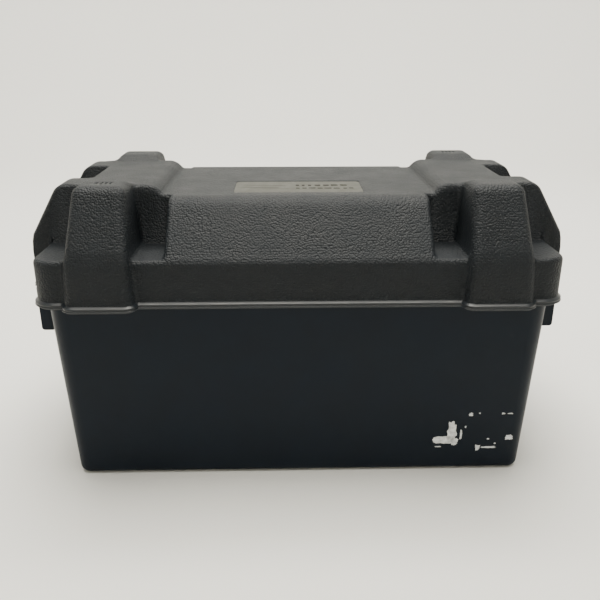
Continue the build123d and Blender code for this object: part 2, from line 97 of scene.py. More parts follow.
class BatteryProps(bpy.types.PropertyGroup):
    case: colour_prop("Case", "Light grey polypropylene", "#B9BBB8")
    label: colour_prop("Label", "Blue coated paper", "#2C4A78")
    cap: colour_prop("Caps", "Black polypropylene", "#1B1C1E")
    seal: colour_prop("Seals", "Black rubber", "#232323")
    positive_paste: colour_prop("Positive paste", "Brown lead dioxide", "#4A2E22")
    negative_paste: colour_prop("Negative paste", "Grey sponge lead", "#6C7074")
    separator: colour_prop("Separator", "Microporous sheet", "#CFCDC2")
    lead: colour_prop("Cast lead", "Dull lead alloy", "#8B8E92")
    steel: colour_prop("Steel", "Stainless steel", "#C4C5C6")
    red: colour_prop("Positive ring", "Red polypropylene", "#B3201C")
    black: colour_prop("Negative ring", "Black polypropylene", "#1C1C1E")


class StageProps(bpy.types.PropertyGroup):
    sweep: colour_prop("Backdrop", "Pale matt paper sweep", "#D9D8D4")
    lamp_power: FloatProperty(name="Overhead lamp", description="Power of the large soft lamp overhead",
                              default=92.0, unit="POWER")
    wall_power: FloatProperty(name="Wall lamp", description="Power of the lamp on the backdrop",
                              default=78.0, unit="POWER")
    lens: FloatProperty(name="Lens", description="Focal length of the camera", default=40.8,
                        subtype="DISTANCE_CAMERA", unit="CAMERA")
    pitch: FloatProperty(name="Camera pitch", description="How far the camera looks down",
                         default=math.radians(20.7), subtype="ANGLE", unit="ROTATION")


# ---------------------------------------------------------------- meshes from grids
def make_piece(name, points, faces, body, materials, smooth=True):
    """A mesh object from points in millimetres and quads, riding on a body."""
    mesh = bpy.data.meshes.new(name)
    mesh.from_pydata(np.asarray(points) * MM, [], np.asarray(faces).tolist())
    mesh.polygons.foreach_set("use_smooth", np.full(len(mesh.polygons), smooth))
    for material in materials:
        mesh.materials.append(material)
    mesh.update()
    piece = bpy.data.objects.new(name, mesh)
    bpy.context.scene.collection.objects.link(piece)
    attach(piece, body)
    return piece


def strip_faces(rows, columns, closed=False, start=0):
    """Quads of a grid of points, row after row; closed joins the last column to the first."""
    wide = columns if closed else columns - 1
    row, column = np.meshgrid(np.arange(rows - 1), np.arange(wide), indexing="ij")
    after = (column + 1) % columns
    return start + np.stack([row * columns + column, row * columns + after,
                             (row + 1) * columns + after, (row + 1) * columns + column],
                            axis=-1).reshape(-1, 4)


# ---------------------------------------------------------------- materials
def add_node(tree, kind, links=(), **settings):
    """Adds one shader node, sets its inputs and properties by name, and links outputs into it."""
    node = tree.nodes.new(kind)
    for key, value in settings.items():
        name = key.replace("_", " ")
        if name in node.inputs:
            node.inputs[name].default_value = value
        else:
            setattr(node, key, value)
    for target, output in links:
        tree.links.new(output, node.inputs[target])
    return node


def set_ramp(node, stops):
    """Gives a colour ramp its stops, each a place and a linear colour."""
    ramp = node.color_ramp
    while len(ramp.elements) < len(stops):
        ramp.elements.new(0.5)
    for element, (place, colour) in zip(ramp.elements, stops):
        element.position = place
        element.color = (*colour, 1.0)


def shade(colour, factor):
    """A colour made lighter or darker by a factor."""
    return tuple(min(1.0, channel * factor) for channel in colour)


def surface_material(name, colour, roughness, ior=1.5, metallic=0.0, mottle=0.12, mottle_mm=14.0,
                     rough_spread=0.08, grain_mm=0.0, grain_depth=0.0, grain_strength=0.0, stretch=(1, 1, 1),
                     sheen_level=0.5):
    """A moulded, cast or rolled finish: broad mottling of the colour and roughness, and a fine grain."""
    material = bpy.data.materials.new(name)
    material.use_nodes = True
    tree = material.node_tree
    shader = tree.nodes["Principled BSDF"]
    shader.inputs["Metallic"].default_value = metallic
    shader.inputs["Roughness"].default_value = roughness
    shader.inputs["Specular IOR Level"].default_value = sheen_level
    if metallic < 0.5:
        shader.inputs["IOR"].default_value = ior
    place = add_node(tree, "ShaderNodeTexCoord").outputs["Object"]
    turned = add_node(tree, "ShaderNodeMapping", [("Vector", place)], Scale=stretch).outputs["Vector"]
    broad = add_node(tree, "ShaderNodeTexNoise", [("Vector", turned)], Scale=1 / (mottle_mm * MM),
                     Detail=3.0, Roughness=0.55)
    tint = add_node(tree, "ShaderNodeValToRGB", [("Fac", broad.outputs["Fac"])])
    set_ramp(tint, [(0.3, shade(colour, 1 - mottle)), (0.7, shade(colour, 1 + mottle))])
    tree.links.new(tint.outputs["Color"], shader.inputs["Base Color"])
    spread = add_node(tree, "ShaderNodeMapRange", [("Value", broad.outputs["Fac"])])
    spread.inputs["From Min"].default_value = 0.3
    spread.inputs["From Max"].default_value = 0.7
    spread.inputs["To Min"].default_value = max(0.02, roughness - rough_spread)
    spread.inputs["To Max"].default_value = min(1.0, roughness + rough_spread)
    tree.links.new(spread.outputs["Result"], shader.inputs["Roughness"])
    if grain_mm > 0:
        fine = add_node(tree, "ShaderNodeTexNoise", [("Vector", turned)], Scale=1 / (grain_mm * MM),
                        Detail=2.0, Roughness=0.5)
        bump = add_node(tree, "ShaderNodeBump", [("Height", fine.outputs["Fac"])],
                        Strength=grain_strength, Distance=grain_depth * MM)
        tree.links.new(bump.outputs["Normal"], shader.inputs["Normal"])
    return material


def give(name, material):
    """Puts a material on every slot of a CAD piece."""
    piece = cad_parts[name]
    for slot in piece.material_slots:
        slot.material = material
    if not piece.material_slots:
        piece.data.materials.append(material)


# ---------------------------------------------------------------- the lid's form
def meet(a, b, radius):
    """Inside both of two signed distances, with the edge rounded over to a radius."""
    return np.minimum(-radius, np.maximum(a, b)) + np.hypot(np.maximum(radius + a, 0),
                                                            np.maximum(radius + b, 0))


def join(a, b, radius):
    """Inside either of two signed distances, with the corner filled to a hollow of a radius."""
    return np.maximum(radius, np.minimum(a, b)) - np.hypot(np.maximum(radius - a, 0),
                                                           np.maximum(radius - b, 0))


def plane(across, up, through, to):
    """Signed distance above the straight line from one point to another, left of it being outside."""
    run, rise = to[0] - through[0], to[1] - through[1]
    return ((up - through[1]) * run - (across - through[0]) * rise) / math.hypot(run, rise)


def rounded_plan(x, y, half_x, half_y, radius):
    """Signed distance to a rectangle with rounded corners."""
    a = x - half_x + radius
    b = y - half_y + radius
    return np.hypot(np.maximum(a, 0), np.maximum(b, 0)) + np.minimum(np.maximum(a, b), 0) - radius


# half sizes and heights of the lid's forms, millimetres
SKIRT = (200.0, 111.5, 17.0)
BULGE = (213.5, 58.5, 7.0)
LEDGE, FLAT, RIDGE, PAD = 190.0, 229.0, 236.5, 241.0
LOWER_EDGE, BEAD_TOP = 154.0, 158.0
CENTRE_HALF = 101.0
RECESS_WALL, RECESS_HALF = 170.0, 27.0
TOWER_FRONT = 120.5
SLOPE_FOOT, SLOPE_HEAD = 108.5, 72.0                 # the centre section's slope, front to back
FLAT_HALF, FLAT_END = 62.0, 125.0
RIDGE_FOOT, RIDGE_HEAD = 106.0, 113.0                # where the ridge starts to rise, and is up
END_SLOPE_HEAD, END_SLOPE_FOOT = 189.5, 215.5
NARROW_FROM, NARROW_RUN, NARROW_BY = 172.0, 6.0, 3.5  # the ridge narrows a little towards its end
TOWER_FOOT = (123.0, 175.0)                          # inner and outer side at the lower edge
TOWER_HEAD = (129.0, 168.0)                          # and at the pad
PAD_FRONT, PAD_FOOT, PAD_BACK = 91.0, 54.0, 60.0


def lid_distance(x, y, z, edge, hollow):
    """Signed distance to the lid: skirt and end bulges under a ledge, a centre section with a slope to
    the front and back, a raised ridge towards each end that slopes down to the bulge and has a recess
    in its end, and four towers with vertical feet, leaning fronts and level pads. Edges are rounded
    over and corners between forms are hollow."""
    x, y = np.abs(x), np.abs(y)
    plan = join(rounded_plan(x, y, *SKIRT), rounded_plan(x, y, *BULGE), hollow)
    skirt = meet(plan, z - LEDGE, 0.8 * edge)

    slope = plane(-y, z, (-SLOPE_FOOT, LEDGE + 1), (-SLOPE_HEAD, FLAT))
    centre = meet(meet(slope, z - FLAT, edge + 1), x - CENTRE_HALF, 0.8 * edge)
    centre = np.maximum(centre, y - SLOPE_FOOT)

    flat = meet(meet(z - FLAT, y - FLAT_HALF, 0.6 * edge), x - FLAT_END, hollow)
    half_side = FLAT_HALF - NARROW_BY * np.clip((x - NARROW_FROM) / NARROW_RUN, 0, 1)
    rise = plane(x, z, (RIDGE_FOOT, FLAT), (RIDGE_HEAD, RIDGE))
    end = plane(x, z, (END_SLOPE_HEAD, RIDGE), (END_SLOPE_FOOT, LEDGE + 2))
    ridge = meet(meet(meet(rise, z - RIDGE, 0.8 * edge), end, edge + 1), y - half_side, edge)
    ridge = np.maximum(ridge, x - BULGE[0])
    recess = meet(y - RECESS_HALF, RECESS_WALL - x, hollow)
    ridge = meet(ridge, -recess, 0.8 * edge)

    inner = plane(x, z, (TOWER_FOOT[0], LOWER_EDGE), (TOWER_HEAD[0], PAD))
    outer = plane(x, z, (TOWER_HEAD[1], PAD), (TOWER_FOOT[1], LOWER_EDGE))
    front = meet(y - TOWER_FRONT, plane(-y, z, (-TOWER_FRONT, LEDGE), (-PAD_FRONT, PAD)), edge)
    pad = meet(z - PAD, plane(y, z, (PAD_FOOT, RIDGE), (PAD_BACK, PAD)), 2 * hollow)
    tower = meet(meet(front, pad, edge), meet(inner, outer, 0.5), 1.35 * edge)

    form = np.minimum(centre, flat)
    form = join(form, ridge, 0.5 * hollow)
    form = join(form, skirt, hollow)
    return join(form, tower, 1.5 * hollow)


def first_outside(distance, low, high, steps=26):
    """Where a signed distance along each ray turns from inside, at low, to outside, at high."""
    for _ in range(steps):
        middle = (low + high) / 2
        inside = distance(middle) < 0
        low = np.where(inside, middle, low)
        high = np.where(inside, high, middle)
    return (low + high) / 2


def lines(stops):
    """Grid lines from (place, spacing up to it) pairs, mirrored about zero; each place is a line."""
    places = [np.array([0.0])]
    last = 0.0
    for place, pitch in stops:
        count = max(1, int(round((place - last) / pitch)))
        places.append(np.linspace(last, place, count + 1)[1:])
        last = place
    half = np.concatenate(places)
    return np.concatenate([-half[:0:-1], half])


INSET = 2.5                       # the top sheet stops this far inside the skirt
SHEET_SKIRT = (SKIRT[0] - INSET, SKIRT[1] - INSET)
SHEET_BULGE = (BULGE[0] - INSET, BULGE[1] - INSET)
SHEET_TOWER = (128.5, 169.0, TOWER_FRONT - INSET)
# where the sheet's outline turns inwards, and the middle of the hollow that it turns round
TOWER_HOLLOW, BULGE_HOLLOW = 3.9, 2.6
INSIDE_CORNERS = (
    ((SHEET_TOWER[0], SHEET_SKIRT[1]), (TOWER_FOOT[0] - TOWER_HOLLOW, SKIRT[1] + TOWER_HOLLOW)),
    ((SHEET_TOWER[1], SHEET_SKIRT[1]), (TOWER_FOOT[1] + TOWER_HOLLOW, SKIRT[1] + TOWER_HOLLOW)),
    ((SHEET_SKIRT[0], SHEET_BULGE[1] - 0.01), (SKIRT[0] + BULGE_HOLLOW, BULGE[1] + BULGE_HOLLOW)),
)
CORNER_CENTRE = (SKIRT[0] - SKIRT[2], SKIRT[1] - SKIRT[2])
VENT_X, VENT_Y, VENT_HALF = 147.0, 75.5, 4.0
SLOT_MIDDLES, SLOT_HALF = (1.7, 5.1), 0.8            # four vent slots, mirrored about the vent's middle
LABEL_HALF, LABEL_FRONT, LABEL_BACK, LABEL_DEPTH = 52.0, -54.0, -9.0, 0.9


def lid_lines():
    """Grid lines across and along the lid, close together where it bends."""
    slots = [(VENT_X + step, 2.0) for step in (-5.9, -4.3, -2.5, -0.9, 0.9, 2.5, 4.3, 5.9)]
    along = lines([(LABEL_HALF - 0.4, 8.6), (LABEL_HALF + 0.4, 0.8), (92, 8.0), (CENTRE_HALF - 5, 2.0),
                   (109, 0.9), (121, 1.7), (SHEET_TOWER[0], 0.85), (135, 1.1)] + slots
                  + [(162, 3.2), (SHEET_TOWER[1], 1.0), (178, 0.9), (CORNER_CENTRE[0], 1.6), (192, 1.1),
                     (SHEET_SKIRT[0], 1.8), (207, 1.6), (SHEET_BULGE[0], 0.9)])
    across = lines([(-LABEL_BACK - 0.4, 4.3), (-LABEL_BACK + 0.4, 0.8), (22, 4.2), (32, 1.0), (50, 4.5),
                    (-LABEL_FRONT - 0.4, 0.9), (-LABEL_FRONT + 0.4, 0.8), (SHEET_BULGE[1], 0.8),
                    (67, 1.0), (VENT_Y - VENT_HALF, 1.6), (VENT_Y + VENT_HALF, 2.7), (87, 1.9),
                    (CORNER_CENTRE[1], 0.95), (SHEET_SKIRT[1], 1.35), (SHEET_TOWER[2], 1.0)])
    return along, across


def round_corners(x, y):
    """Pulls the square corners of the sheet in to quarter rounds: within each corner square a point
    keeps its greater distance from the round's centre as its radius."""
    a = np.maximum(np.abs(x) - CORNER_CENTRE[0], 0)
    b = np.maximum(np.abs(y) - CORNER_CENTRE[1], 0)
    corner = (a > 0) & (b > 0) & (np.abs(x) <= SHEET_SKIRT[0]) & (np.abs(y) <= SHEET_SKIRT[1])
    pull = np.where(corner, np.maximum(a, b) / np.maximum(np.hypot(a, b), 1e-9), 1.0)
    return (np.where(corner, np.sign(x) * (CORNER_CENTRE[0] + a * pull), x),
            np.where(corner, np.sign(y) * (CORNER_CENTRE[1] + b * pull), y))


def sheet_ring(along, across):
    """Indices of the sheet's outline, anticlockwise from above, as one run along each straight side."""
    def at(places, value):
        return int(np.argmin(np.abs(places - value)))

    tower_in, tower_out, tower_end = SHEET_TOWER
    skirt_x, skirt_y = SHEET_SKIRT
    bulge_x, bulge_y = SHEET_BULGE
    right = [(tower_in, -skirt_y), (tower_in, -tower_end), (tower_out, -tower_end), (tower_out, -skirt_y),
             (skirt_x, -skirt_y), (skirt_x, -bulge_y), (bulge_x, -bulge_y)]
    right = right + [(x, -y) for x, y in reversed(right)]
    corners = right + [(-x, -y) for x, y in right]
    columns, rows = [], []
    for (x0, y0), (x1, y1) in zip(corners, corners[1:] + corners[:1]):
        i0, i1, j0, j1 = at(along, x0), at(along, x1), at(across, y0), at(across, y1)
        count = max(abs(i1 - i0), abs(j1 - j0))
        columns.append(np.linspace(i0, i1, count + 1).round().astype(int)[:-1])
        rows.append(np.linspace(j0, j1, count + 1).round().astype(int)[:-1])
    return np.concatenate(columns), np.concatenate(rows)


def outward(px, py, reach=3.2):
    """Unit directions out of a closed outline, turning smoothly through its corners: each is the
    average of the sides' directions, weighted by how near they are along the outline."""
    side = np.stack([np.roll(px, -1) - px, np.roll(py, -1) - py], axis=-1)
    length = np.hypot(side[:, 0], side[:, 1])
    normal = np.stack([side[:, 1], -side[:, 0]], axis=-1) / length[:, None]
    start = np.concatenate([[0], np.cumsum(length)[:-1]])
    total = length.sum()
    apart = np.abs(start[:, None] - (start + length / 2)[None, :])
    apart = np.minimum(apart, total - apart)
    weight = np.exp(-(apart / reach) ** 2) * length[None, :]
    smooth = weight @ normal
    # in an inside corner every direction points at the middle of its hollow, so that none cross
    ax, ay = np.abs(px), np.abs(py)
    for (corner_x, corner_y), (aim_x, aim_y) in INSIDE_CORNERS:
        near = (ax >= min(corner_x, aim_x)) & (ax <= max(corner_x, aim_x)) & (ay >= corner_y) & (ay <= aim_y)
        smooth[:, 0] = np.where(near, np.sign(px) * (aim_x - ax), smooth[:, 0])
        smooth[:, 1] = np.where(near, np.sign(py) * (aim_y - ay), smooth[:, 1])
    return smooth / np.hypot(smooth[:, 0], smooth[:, 1])[:, None]


SEARCH_LOW, SEARCH_HIGH = 150.0, 250.0              # heights that the top is looked for between
RAY_DROP, RAY_LENGTH = 3.5, 30.0
RAY_ANGLES = (74, 58, 42, 28, 14)
SKIRT_SHARES = (0.0, 0.12, 0.3, 0.5, 0.7, 0.88, 1.0)
BEAD_LEAD = 0.3
# rows of the bead down the lower edge: share of the bead's size, added to it, height
BEAD_PROFILE = (
    (0, 0.1, 158.25), (1, -0.3, 157.1), (1, 0.0, 156.8), (1, 0.0, 156.3), (1, -0.5, 156.0),
    (1, -0.5, 155.3), (1, -0.2, 155.0), (1, 0.3, 154.75), (1, 0.3, 154.3), (1, -0.4, LOWER_EDGE),
)


def lid_surface(edge, hollow, bead):
    """The lid's outside as one open surface. Its top is a height over a grid of unequal lines, found
    by halving; round its outline, rays turn from upright to level about a point just inside, then
    level rays go down the skirt, and the last rows carry the bead on the lower edge."""
    along, across = lid_lines()
    gx, gy = np.meshgrid(along, across, indexing="ij")
    px, py = round_corners(gx, gy)
    height = first_outside(lambda z: lid_distance(px, py, z, edge, hollow),
                           np.full(px.shape, SEARCH_LOW), np.full(px.shape, SEARCH_HIGH))
    recess = (np.abs(px) < LABEL_HALF) & (py > LABEL_FRONT) & (py < LABEL_BACK)
    height = height - np.where(recess, LABEL_DEPTH, 0.0)
    index = np.arange(px.size).reshape(px.shape)

    mid_x = (along[:-1] + along[1:])[:, None] / 2
    mid_y = (across[:-1] + across[1:])[None, :] / 2
    ax, ay = np.abs(mid_x), np.abs(mid_y)
    keep = (ax < SHEET_SKIRT[0]) & (ay < SHEET_SKIRT[1])
    keep |= (ax < SHEET_BULGE[0]) & (ay < SHEET_BULGE[1])
    keep |= (ax > SHEET_TOWER[0]) & (ax < SHEET_TOWER[1]) & (ay < SHEET_TOWER[2])
    # vent slots through the front left and back right pads
    offset = np.abs(ax - VENT_X)
    in_slot = (np.abs(offset - SLOT_MIDDLES[0]) < SLOT_HALF) | (np.abs(offset - SLOT_MIDDLES[1]) < SLOT_HALF)
    keep &= ~(in_slot & (np.abs(ay - VENT_Y) < VENT_HALF) & (mid_x * mid_y > 0))
    quads = np.stack([index[:-1, :-1], index[1:, :-1], index[1:, 1:], index[:-1, 1:]], axis=-1)[keep]

    ring_i, ring_j = sheet_ring(along, across)
    ring = index[ring_i, ring_j]
    rx, ry, rz = px[ring_i, ring_j], py[ring_i, ring_j], height[ring_i, ring_j]
    out = outward(rx, ry)

    def ray(level, climb, cosine):
        reach = first_outside(
            lambda r: lid_distance(rx + out[:, 0] * r * cosine, ry + out[:, 1] * r * cosine,
                                   level + r * climb, edge, hollow),
            np.zeros(rx.shape), np.full(rx.shape, RAY_LENGTH))
        return np.stack([rx + out[:, 0] * reach * cosine, ry + out[:, 1] * reach * cosine,
                         level + reach * climb], axis=-1)

    rows = []
    centre = rz - RAY_DROP
    for angle in np.radians(RAY_ANGLES):
        rows.append(ray(centre, math.sin(angle), math.cos(angle)))
    for share in SKIRT_SHARES:
        rows.append(ray(centre + (BEAD_TOP + BEAD_LEAD - centre) * share, 0.0, 1.0))
    foot = rows[-1]
    for share, extra, level in BEAD_PROFILE:
        row = foot.copy()
        row[:, :2] += out * (share * bead + extra)
        row[:, 2] = level
        rows.append(row)

    points = np.stack([px, py, height], axis=-1).reshape(-1, 3)
    skirt_points = np.concatenate(rows)
    count = len(ring)
    first = len(points)
    below = first + np.arange(count)
    seam = np.stack([ring, below, np.roll(below, -1), np.roll(ring, -1)], axis=-1)
    faces = np.concatenate([quads, seam, strip_faces(len(rows), count, True, first)[:, ::-1]])
    points = np.concatenate([points, skirt_points])
    used, inverse = np.unique(faces, return_inverse=True)
    # the bead's rows take the second material, whose lightened colour is a painted highlight
    bead_highlight_faces = np.zeros(len(faces), dtype=np.int32)
    bead_highlight_faces[-(len(BEAD_PROFILE) * count):] = 1
    return points[used], inverse.reshape(-1, 4), bead_highlight_faces


class BATTERYBOX_OT_lid(bpy.types.Operator):
    """Makes the lid's skin with its pebbled finish"""
    bl_idname = "battery_box.lid"
    bl_label = "Lid"

    def execute(self, context):
        props = context.scene.battery_box_lid
        edge, hollow = props.round_over / MM, props.hollow / MM
        points, faces, finish = lid_surface(edge, hollow, props.bead / MM)
        # the bead is smoother than the pebbled faces, and its colour is lightened half again as a painted
        # highlight along the lower edge
        bead_highlight_material = surface_material("polypropylene_rubbed", shade(tuple(props.plastic), 1.5), 0.36, 1.49,
                                  mottle=0.3, mottle_mm=9.0, rough_spread=0.08)
        piece = make_piece("lid_skin", points, faces, "lid",
                           [pebbled_polypropylene(props), bead_highlight_material])
        piece.data.polygons.foreach_set("material_index", finish)
        wall = piece.modifiers.new("wall", "SOLIDIFY")
        wall.thickness = props.wall
        wall.offset = -1.0
        wall.use_even_offset = False
        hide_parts("lid")
        return {"FINISHED"}


def pebbled_polypropylene(props):
    """Charcoal polypropylene, moulded in a spark-eroded tool: rounded pebbles that scatter light into a
    broad grey sheen on the level faces and stay nearly black on the upright ones."""
    colour = tuple(props.plastic)
    material = surface_material("polypropylene_pebbled", colour, 0.56, 1.49, mottle=0.14, mottle_mm=22.0,
                                rough_spread=0.05, sheen_level=0.22)
    tree = material.node_tree
    shader = tree.nodes["Principled BSDF"]
    place = add_node(tree, "ShaderNodeTexCoord").outputs["Object"]
    pebbles = add_node(tree, "ShaderNodeTexVoronoi", [("Vector", place)], Scale=1 / props.grain,
                       feature="F1", Randomness=0.85)
    dome = add_node(tree, "ShaderNodeMath", [(0, pebbles.outputs["Distance"]),
                                             (1, pebbles.outputs["Distance"])], operation="MULTIPLY")
    height = add_node(tree, "ShaderNodeMath", [(1, dome.outputs["Value"])], operation="SUBTRACT")
    bump = add_node(tree, "ShaderNodeBump", [("Height", height.outputs["Value"])], Strength=1.0,
                    Distance=0.6 * MM)
    tree.links.new(bump.outputs["Normal"], shader.inputs["Normal"])
    return material


# ---------------------------------------------------------------- label
PRINT_LIFT = 0.05
# worn print with nothing to read: thin rules at the left, then two rows of short marks at the right
LABEL_RULES = ((-46.0, -10.0, 4.6, 5.4), (-47.0, -16.0, -3.4, -2.2), (-30.0, -8.0, -8.0, -7.2))
MARK_ROWS = ((6.0, 6.0), (-6.0, 4.0))                # middle and height of each row
MARKS_FROM, MARKS_TO = -2.0, 42.0


class BATTERYBOX_OT_label(bpy.types.Operator):
    """Finishes the foil label plate in the lid's recess"""
    bl_idname = "battery_box.label"
    bl_label = "Label plate"

    def execute(self, context):
        props = context.scene.battery_box_lid
        give("lid_label_plate", satin_foil(props))
        low, high = node_box("lid_label_plate")
        middle = (low + high) / 2
        random = np.random.default_rng(11)
        marks = list(LABEL_RULES)
        for row, tall in MARK_ROWS:
            place = MARKS_FROM
            while place < MARKS_TO:
                wide = random.uniform(2.2, 6.5)
                lift = random.uniform(-0.8, 0.8)
                marks.append((place, place + wide, row + lift - tall / 2, row + lift + tall / 2))
                place += wide + random.uniform(1.2, 3.0)
        points, faces = [], []
        for number, (x0, x1, y0, y1) in enumerate(marks):
            flat, quads = torn_patch((x0 + x1) / 2, (y0 + y1) / 2, (x1 - x0) / 2, (y1 - y0) / 2, 0.16, number)
            faces.append(quads + sum(len(part) for part in points))
            lift = np.full(len(flat), high[2] + PRINT_LIFT)
            points.append(np.stack([middle[0] + flat[:, 0], middle[1] + flat[:, 1], lift], axis=-1))
        ink = surface_material("label_print_worn", tuple(props.print_ink), 0.8, 1.5, mottle=0.25,
                               mottle_mm=3.0, rough_spread=0.1, sheen_level=0.1)
        make_piece("lid_label_print", np.concatenate(points), np.concatenate(faces), "lid",
                   [ink])
        return {"FINISHED"}


def torn_patch(middle_x, middle_y, half_x, half_y, rough, seed):
    """A flat patch with a ragged outline: rings of points about its middle, each out to a rounded
    rectangle's reach in that direction, times one plus three seeded sine waves round the edge."""
    random = np.random.default_rng(seed + 1)
    turn = np.linspace(0, 2 * math.pi, 40, endpoint=False)
    waves = sum(random.uniform(0.3, 1.0) * np.sin(count * turn + random.uniform(0, 6.28))
                for count in (3, 7, 12))
    reach = (1 / (np.abs(np.cos(turn)) ** 5 + np.abs(np.sin(turn)) ** 5) ** 0.2) * (1 + rough * waves / 2)
    ring = np.array([0.0, 0.4, 0.75, 1.0])[:, None]
    x = middle_x + half_x * ring * reach * np.cos(turn)
    y = middle_y + half_y * ring * reach * np.sin(turn)
    points = np.stack([x, y], axis=-1).reshape(-1, 2)
    faces = strip_faces(len(ring), len(turn), True)[:, ::-1]
    return points, faces


def satin_foil(props):
    """Satin aluminium foil label with a protective lacquer, scuffed and slightly grey: a soft, even
    brightness with faint wear."""
    return surface_material("label_foil_satin", tuple(props.foil), 0.6, 1.5, mottle=0.07, mottle_mm=9.0,
                            rough_spread=0.08, grain_mm=0.6, grain_depth=0.05, grain_strength=0.2,
                            sheen_level=0.25)


# ---------------------------------------------------------------- tub
class BATTERYBOX_OT_tub(bpy.types.Operator):
    """Finishes the tub with its grips"""
    bl_idname = "battery_box.tub"
    bl_label = "Tub"

    def execute(self, context):
        props = context.scene.battery_box_tub
        give("tub", satin_polypropylene(props))
        return {"FINISHED"}


def satin_polypropylene(props):
    """Black polypropylene off a fine-sanded tool: a satin wall, its colour tinted blue as a painted cool
    sheen on the upright walls.
    """
    return surface_material("polypropylene_satin", tuple(props.plastic), 0.42, 1.49, mottle=0.1,
                            mottle_mm=30.0, rough_spread=0.05, grain_mm=0.9, grain_depth=0.06,
                            grain_strength=0.25, sheen_level=0.13)


# remains of a paper sticker on the front wall, at the lower right: from x, to x, from z, to z, raggedness
REMAINS = (
    (111.0, 129.0, 26.0, 33.0, 0.10), (122.5, 129.5, 31.0, 46.5, 0.30), (126.0, 131.5, 24.5, 31.0, 0.3),
    (133.0, 134.6, 30.0, 39.0, 0.35), (171.5, 177.5, 29.0, 33.5, 0.25), (147.0, 150.5, 19.0, 24.0, 0.35),
    (152.5, 164.0, 20.9, 22.6, 0.3), (162.3, 163.8, 24.8, 26.2, 0.3), (139.0, 142.0, 52.5, 55.5, 0.5),
    (147.0, 148.2, 54.4, 55.6, 0.3), (166.0, 168.5, 53.8, 55.2, 0.4), (171.0, 175.0, 54.0, 55.0, 0.4),
    (113.0, 118.0, 22.4, 23.4, 0.5), (156.0, 158.0, 29.5, 30.6, 0.4), (136.5, 137.6, 41.0, 43.0, 0.4),
)
PAPER_PROUD = 0.12
TUB_HALF, TUB_CORNER = (186.0, 100.0), 10.0
WALL_LEAN = math.radians(2.0)


class BATTERYBOX_OT_sticker_remains(bpy.types.Operator):
    """Leaves the torn remains of a paper sticker on the tub's front wall"""
    bl_idname = "battery_box.sticker_remains"
    bl_label = "Sticker remains"

    def execute(self, context):
        props = context.scene.battery_box_tub
        points, faces = [], []
        for number, (x0, x1, z0, z1, rough) in enumerate(REMAINS):
            flat, quads = torn_patch((x0 + x1) / 2, (z0 + z1) / 2, (x1 - x0) / 2, (z1 - z0) / 2, rough,
                                     number + 40)
            faces.append(quads + sum(len(part) for part in points))
            # the wall leans out, and turns back round the upright corner
            bend = TUB_CORNER + flat[:, 1] * math.tan(WALL_LEAN) + PAPER_PROUD
            past = np.clip(flat[:, 0] - (TUB_HALF[0] - TUB_CORNER), 0, 0.95 * bend)
            wall = -(TUB_HALF[1] - TUB_CORNER + np.sqrt(bend ** 2 - past ** 2))
            points.append(np.stack([flat[:, 0], wall, flat[:, 1]], axis=-1))
        # fibrous white paper
        paper = surface_material("paper_torn", tuple(props.paper), 0.85, 1.45, mottle=0.3, mottle_mm=3.5,
                                 rough_spread=0.05, grain_mm=0.5, grain_depth=0.08, grain_strength=0.5)
        make_piece("sticker_remains", np.concatenate(points), np.concatenate(faces), "box",
                   [paper])
        return {"FINISHED"}


class BATTERYBOX_OT_dividers(bpy.types.Operator):
    """Finishes the two end dividers"""
    bl_idname = "battery_box.dividers"
    bl_label = "Dividers"

    def execute(self, context):
        props = context.scene.battery_box_tub
        # moulded sheet, a little duller than the tub
        material = surface_material("polypropylene_divider", tuple(props.divider), 0.5, 1.49, mottle=0.1,
                                    grain_mm=1.2, grain_depth=0.08, grain_strength=0.3)
        give("divider_left", material)
        give("divider_right", material)
        return {"FINISHED"}


# ---------------------------------------------------------------- battery
class BATTERYBOX_OT_battery_case(bpy.types.Operator):
    """Finishes the battery's container, cover, label, caps and seals"""
    bl_idname = "battery_box.battery_case"
    bl_label = "Battery case"

    def execute(self, context):
        props = context.scene.battery_box_battery
        # grey polypropylene with a faint orange-peel gloss
        case = surface_material("polypropylene_case", tuple(props.case), 0.34, 1.49, mottle=0.03,
                                mottle_mm=40.0, rough_spread=0.04, grain_mm=3.0, grain_depth=0.05,
                                grain_strength=0.15)
        give("battery_container", case)
        give("battery_cover", case)
        # gloss-coated paper
        give("battery_label", surface_material("paper_coated", tuple(props.label), 0.3, 1.5, mottle=0.06,
                                               mottle_mm=18.0, rough_spread=0.04))
        # matt moulded caps
        cap = surface_material("polypropylene_cap", tuple(props.cap), 0.45, 1.49, mottle=0.1,
                               mottle_mm=8.0, grain_mm=0.8, grain_depth=0.05, grain_strength=0.3)
        # black rubber, its tone mottled a little
        rubber = surface_material("rubber_seal", tuple(props.seal), 0.75, 1.52, mottle=0.2, mottle_mm=5.0,
                                  grain_mm=0.6, grain_depth=0.05, grain_strength=0.3)
        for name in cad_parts:
            if name.startswith("vent_cap"):
                give(name, cap)
            if name.startswith("cap_seal"):
                give(name, rubber)
        return {"FINISHED"}


